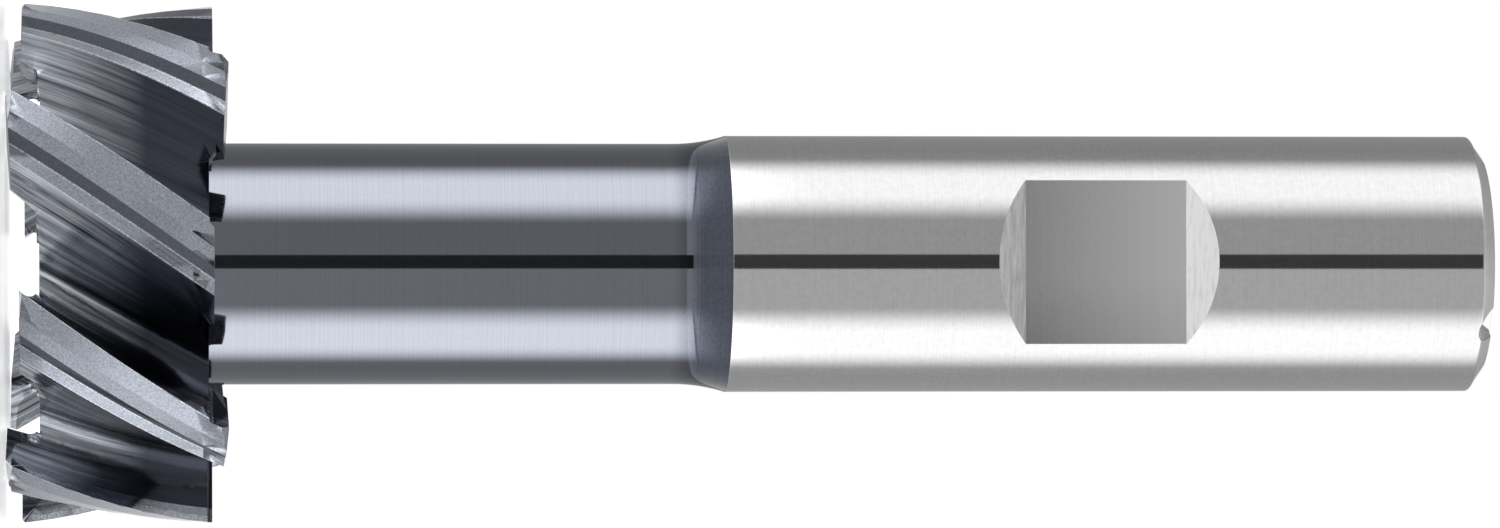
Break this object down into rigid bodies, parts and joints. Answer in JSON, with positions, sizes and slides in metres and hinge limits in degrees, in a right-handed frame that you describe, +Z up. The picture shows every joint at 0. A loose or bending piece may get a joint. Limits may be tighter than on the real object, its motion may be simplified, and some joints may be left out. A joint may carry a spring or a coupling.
{
  "type": "t slot cutter",
  "caption": "Solid milling tool with a disc-shaped head of staggered helical teeth, a thinner neck and a plain round shank with a clamping flat.",
  "frame": {"origin": "centre of the cutting plane under the head: the middle of the bottom of the tool's box", "axes": "+Z up the tool's axis from the head to the shank, -Y out of the clamping flat"},
  "size_m": [0.032, 0.032, 0.0918],
  "materials": {
    "tool_steel": "ground shank, dark grey hard coating on head and neck"
  },
  "bodies": {
    "root": {"t_slot_cutter": "tool_steel"}
  },
  "joints": []
}
